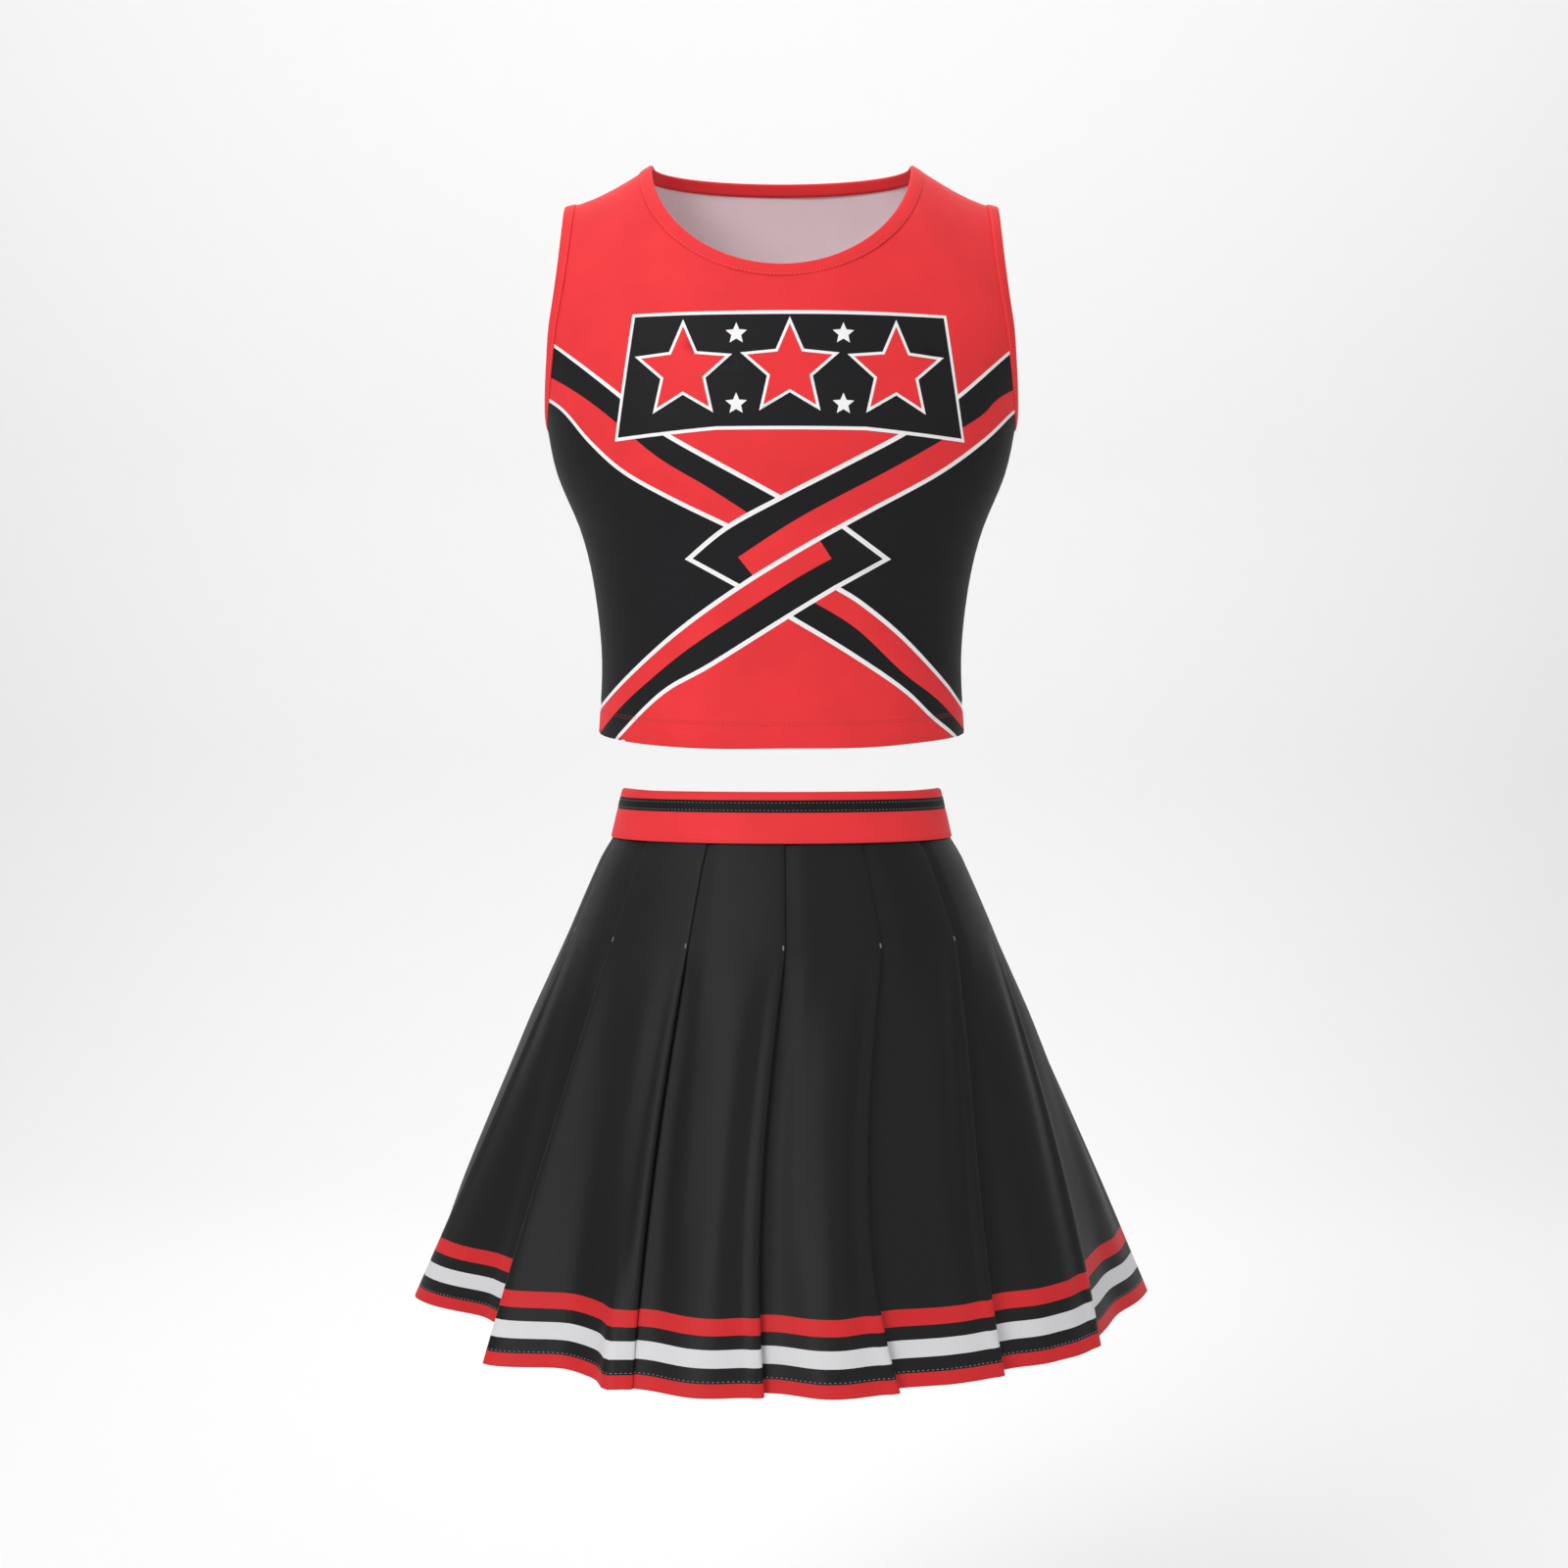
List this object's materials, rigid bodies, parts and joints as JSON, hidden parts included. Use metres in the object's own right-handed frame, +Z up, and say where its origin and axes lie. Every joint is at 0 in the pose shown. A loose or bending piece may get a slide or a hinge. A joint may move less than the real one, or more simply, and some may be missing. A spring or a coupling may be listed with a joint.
{
  "type": "cheer uniform",
  "caption": "Sleeveless knit crop top with crossed printed bands and a short flared pleated skirt with a striped waistband, striped hem and back zip, shown as worn without a body.",
  "frame": {"origin": "centre of the top edge of the skirt's waistband, on the wearer's centre line", "axes": "+Z up, -Y the way the wearer faces, +X towards the wearer's left"},
  "size_m": [0.5629, 0.5075, 0.856],
  "materials": {
    "printed_knit": "satin double-faced knit printed in red, black and white",
    "red_binding": "folded red knit, topstitched",
    "knit_reverse": "unprinted off-white knit",
    "stay_tape": "woven white tape",
    "waistband_knit": "red knit with one black stripe",
    "interlining": "stiff white non-woven",
    "skirt_knit": "smooth black knit, red and white braid at the hem",
    "zip_tape": "woven black herringbone tape",
    "zip_coil": "black nylon coil",
    "closure_metal": "nickel-plated, lightly brushed"
  },
  "bodies": {
    "skirt": {"waistband_front": "waistband_knit", "waistband_interlining_front": "interlining", "skirt_yoke_front": "skirt_knit", "waistband_back_left": "waistband_knit", "waistband_interlining_back_left": "interlining", "skirt_yoke_back_left": "skirt_knit", "waistband_back_right": "waistband_knit", "waistband_interlining_back_right": "interlining", "skirt_yoke_back_right": "skirt_knit", "zip_tape_left": "zip_tape", "zip_tape_right": "zip_tape", "zip_coil_left": "zip_coil", "zip_coil_right": "zip_coil", "zip_top_stop_left": "closure_metal", "zip_top_stop_right": "closure_metal", "zip_bottom_stop": "closure_metal", "waist_hook": "closure_metal", "waist_bar": "closure_metal"},
    "top": {"top_front_panel": "printed_knit", "top_back_panel": "printed_knit", "neck_binding": "red_binding", "armhole_binding_left": "red_binding", "armhole_binding_right": "red_binding", "top_hem_turn_up": "knit_reverse", "shoulder_stay_tape_left": "stay_tape", "shoulder_stay_tape_right": "stay_tape"},
    "pleat_01": {"pleat_01": "skirt_knit"},
    "pleat_02": {"pleat_02": "skirt_knit"},
    "pleat_03": {"pleat_03": "skirt_knit"},
    "pleat_04": {"pleat_04": "skirt_knit"},
    "pleat_05": {"pleat_05": "skirt_knit"},
    "pleat_06": {"pleat_06": "skirt_knit"},
    "pleat_07": {"pleat_07": "skirt_knit"},
    "pleat_08": {"pleat_08": "skirt_knit"},
    "pleat_09": {"pleat_09": "skirt_knit"},
    "pleat_10": {"pleat_10": "skirt_knit"},
    "pleat_11": {"pleat_11": "skirt_knit"},
    "pleat_12": {"pleat_12": "skirt_knit"},
    "pleat_13": {"pleat_13": "skirt_knit"},
    "pleat_14": {"pleat_14": "skirt_knit"},
    "zip_slider": {"zip_slider": "closure_metal"},
    "zip_pull_tab": {"zip_pull_tab": "closure_metal"}
  },
  "joints": [
    {"name": "top_lift", "type": "slide", "parent": "skirt", "child": "top", "axis": [0, 0, 1], "range_m": [0, 0.35]},
    {"name": "pleat_01_swing", "type": "hinge", "parent": "skirt", "child": "pleat_01", "pos_m": [-0.10252, 0.09721, -0.106], "axis": [0.8388, 0.5444, 0], "range_deg": [0, 12]},
    {"name": "pleat_02_swing", "type": "hinge", "parent": "skirt", "child": "pleat_02", "pos_m": [-0.14614, 0.0527, -0.106], "axis": [0.5057, 0.8627, 0], "range_deg": [0, 12]},
    {"name": "pleat_03_swing", "type": "hinge", "parent": "skirt", "child": "pleat_03", "pos_m": [-0.16082, -0.0022, -0.106], "axis": [-0.0222, 0.9998, 0], "range_deg": [0, 12]},
    {"name": "pleat_04_swing", "type": "hinge", "parent": "skirt", "child": "pleat_04", "pos_m": [-0.1437, -0.05666, -0.106], "axis": [-0.5396, 0.8419, 0], "range_deg": [0, 12]},
    {"name": "pleat_05_swing", "type": "hinge", "parent": "skirt", "child": "pleat_05", "pos_m": [-0.09813, -0.09996, -0.106], "axis": [-0.8559, 0.5171, 0], "range_deg": [0, 12]},
    {"name": "pleat_06_swing", "type": "hinge", "parent": "skirt", "child": "pleat_06", "pos_m": [-0.03307, -0.12347, -0.106], "axis": [-0.9867, 0.1627, 0], "range_deg": [0, 12]},
    {"name": "pleat_07_swing", "type": "hinge", "parent": "skirt", "child": "pleat_07", "pos_m": [0.03855, -0.12249, -0.106], "axis": [-0.9818, -0.1902, 0], "range_deg": [0, 12]},
    {"name": "pleat_08_swing", "type": "hinge", "parent": "skirt", "child": "pleat_08", "pos_m": [0.10252, -0.09721, -0.106], "axis": [-0.8388, -0.5444, 0], "range_deg": [0, 12]},
    {"name": "pleat_09_swing", "type": "hinge", "parent": "skirt", "child": "pleat_09", "pos_m": [0.14614, -0.0527, -0.106], "axis": [-0.5057, -0.8627, 0], "range_deg": [0, 12]},
    {"name": "pleat_10_swing", "type": "hinge", "parent": "skirt", "child": "pleat_10", "pos_m": [0.16082, 0.0022, -0.106], "axis": [0.0222, -0.9998, 0], "range_deg": [0, 12]},
    {"name": "pleat_11_swing", "type": "hinge", "parent": "skirt", "child": "pleat_11", "pos_m": [0.1437, 0.05666, -0.106], "axis": [0.5396, -0.8419, 0], "range_deg": [0, 12]},
    {"name": "pleat_12_swing", "type": "hinge", "parent": "skirt", "child": "pleat_12", "pos_m": [0.09813, 0.09996, -0.106], "axis": [0.8559, -0.5171, 0], "range_deg": [0, 12]},
    {"name": "pleat_13_swing", "type": "hinge", "parent": "skirt", "child": "pleat_13", "pos_m": [0.03307, 0.12347, -0.106], "axis": [0.9867, -0.1627, 0], "range_deg": [0, 12]},
    {"name": "pleat_14_swing", "type": "hinge", "parent": "skirt", "child": "pleat_14", "pos_m": [-0.03855, 0.12249, -0.106], "axis": [0.9818, 0.1902, 0], "range_deg": [0, 12]},
    {"name": "zip_slide", "type": "slide", "parent": "skirt", "child": "zip_slider", "axis": [0, 0.342, -0.9397], "range_m": [0, 0.056]},
    {"name": "pull_tab_swing", "type": "hinge", "parent": "zip_slider", "child": "zip_pull_tab", "pos_m": [0, 0.1027, -0.02759], "axis": [1, 0, 0], "range_deg": [0, 150]}
  ],
  "couplings": [
    {"joint": "pleat_01_swing", "follows": "pleat_07_swing", "ratio": 1},
    {"joint": "pleat_02_swing", "follows": "pleat_07_swing", "ratio": 1},
    {"joint": "pleat_03_swing", "follows": "pleat_07_swing", "ratio": 1},
    {"joint": "pleat_04_swing", "follows": "pleat_07_swing", "ratio": 1},
    {"joint": "pleat_05_swing", "follows": "pleat_07_swing", "ratio": 1},
    {"joint": "pleat_06_swing", "follows": "pleat_07_swing", "ratio": 1},
    {"joint": "pleat_08_swing", "follows": "pleat_07_swing", "ratio": 1},
    {"joint": "pleat_09_swing", "follows": "pleat_07_swing", "ratio": 1},
    {"joint": "pleat_10_swing", "follows": "pleat_07_swing", "ratio": 1},
    {"joint": "pleat_11_swing", "follows": "pleat_07_swing", "ratio": 1},
    {"joint": "pleat_12_swing", "follows": "pleat_07_swing", "ratio": 1},
    {"joint": "pleat_13_swing", "follows": "pleat_07_swing", "ratio": 1},
    {"joint": "pleat_14_swing", "follows": "pleat_07_swing", "ratio": 1}
  ]
}
